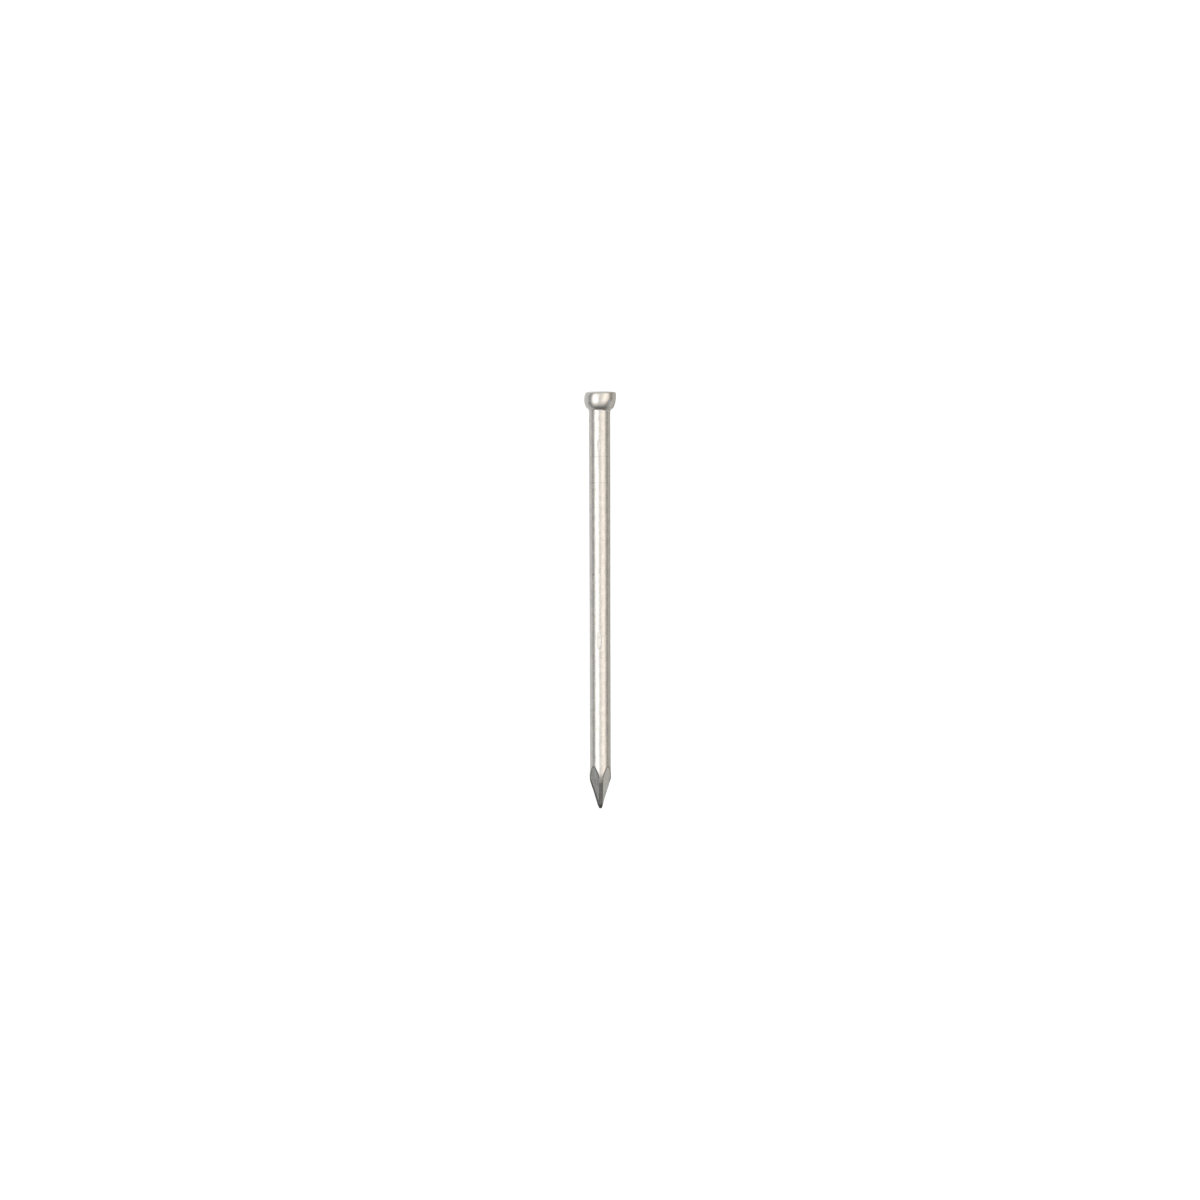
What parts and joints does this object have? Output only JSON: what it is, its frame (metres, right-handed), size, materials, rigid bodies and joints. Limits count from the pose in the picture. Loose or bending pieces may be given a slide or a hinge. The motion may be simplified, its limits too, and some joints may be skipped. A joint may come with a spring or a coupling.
{
  "type": "nail",
  "caption": "Round lost-head wire nail with a cup-shaped head, a small hollow neck, a plain round shank and a four-sided pinched point.",
  "frame": {"origin": "centre of the flat face that the hammer strikes, which ends level with the surface of the timber", "axes": "+Z along the nail's axis, from the tip towards the head, so the tip is at z = -0.075; +X and +Y each pass through a ridge of the four-sided point"},
  "size_m": [0.0056, 0.0056, 0.075],
  "materials": {
    "steel": "bare stainless wire: satin drawn shank with fine pitting, smoother forged head, dull sheared point"
  },
  "bodies": {
    "root": {"nail": "steel"}
  },
  "joints": []
}
